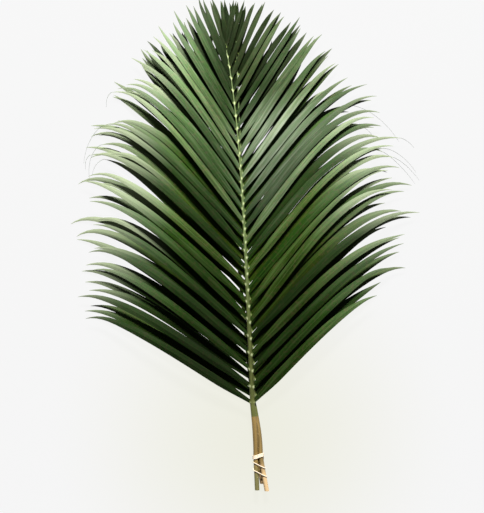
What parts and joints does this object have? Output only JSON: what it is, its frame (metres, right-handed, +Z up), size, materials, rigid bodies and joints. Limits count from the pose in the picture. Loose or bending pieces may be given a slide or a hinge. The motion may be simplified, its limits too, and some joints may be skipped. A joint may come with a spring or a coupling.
{
  "type": "tied bunch of feather palm fronds",
  "caption": "Tied bunch of cut feather palm fronds, stacked flat and held at the stalks by a rubber band, used as foliage in flower arranging.",
  "frame": {"origin": "on the flat underside of the lowest stalk, just below the first leaflets, where it rests on the surface", "axes": "+Y along the bunch from the cut stalk ends to the leaf tips, +Z up, out of the surface it lies on, +X to the right seen from above with the tips away"},
  "size_m": [0.4641, 0.6556, 0.0411],
  "materials": {
    "frond_top": "fresh palm leaf, deep green, satin",
    "frond_middle": "fresh palm leaf, deep green, satin",
    "frond_bottom": "fresh palm leaf, deep green, satin",
    "rubber_band": "matt cream"
  },
  "bodies": {
    "root": {"frond_top": "frond_top", "frond_middle": "frond_middle", "frond_bottom": "frond_bottom", "rubber_band": "rubber_band"}
  },
  "joints": []
}
